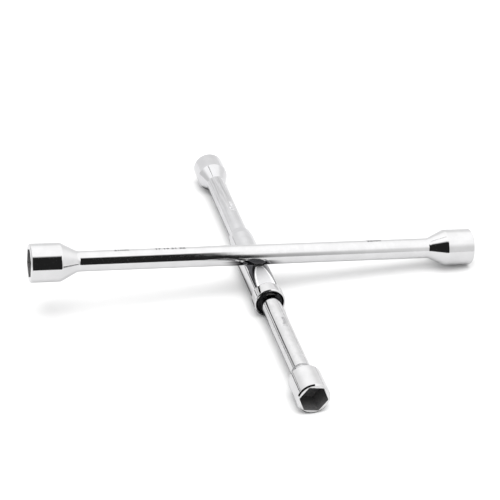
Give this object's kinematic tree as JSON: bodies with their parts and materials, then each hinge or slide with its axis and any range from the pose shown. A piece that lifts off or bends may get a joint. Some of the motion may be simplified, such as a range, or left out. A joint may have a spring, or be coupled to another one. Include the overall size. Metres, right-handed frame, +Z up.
{
  "type": "folding four-way lug wrench",
  "caption": "Cross-shaped wheel nut wrench: two crossing bars with a hexagon socket at each end, folding on a central pivot, with a spring-loaded lock collar.",
  "frame": {"origin": "centre of the wrench's footprint on the floor it rests on", "axes": "+Z up from the floor; +X along the upper bar towards its low, resting end (level part of its direction); +Y along the lower bar towards the far socket, away from the lock collar"},
  "size_m": [0.356, 0.355, 0.0637],
  "materials": {
    "upper_bar_chrome": "polished",
    "far_arm_chrome": "polished",
    "near_arm_chrome": "polished",
    "hub_chrome": "polished",
    "collar_chrome": "polished",
    "screw_black_oxide": "black oxide",
    "washer_spring_steel": "satin",
    "bolt_steel": "ground",
    "pin_steel": "ground",
    "coil_black_steel": "oiled black",
    "ring_black_steel": "black oxide",
    "far_pin_steel": "ground",
    "near_pin_steel": "ground"
  },
  "bodies": {
    "lower_bar": {"pivot_hub": "hub_chrome", "far_arm": "far_arm_chrome", "near_arm": "near_arm_chrome", "far_arm_pin": "far_pin_steel", "near_arm_pin": "near_pin_steel", "pivot_wave_washer": "washer_spring_steel", "collar_snap_ring": "ring_black_steel", "collar_spring": "coil_black_steel"},
    "cross_bar": {"upper_bar": "upper_bar_chrome", "pivot_shoulder_screw": "screw_black_oxide"},
    "collar": {"lock_collar": "collar_chrome", "collar_cross_pin": "pin_steel", "lock_bolt": "bolt_steel"}
  },
  "joints": [
    {"name": "fold_hinge", "type": "hinge", "parent": "lower_bar", "child": "cross_bar", "pos_m": [0.00161, -0.0058, 0.0125], "axis": [0.0992, 0, 0.9951], "range_deg": [-75, 75]},
    {"name": "collar_slide", "type": "slide", "parent": "lower_bar", "child": "collar", "axis": [0, -1, 0], "range_m": [0, 0.0025], "stiffness_N_per_m": 2500, "springref_m": -0.002, "deforming": ["collar_spring"]}
  ]
}
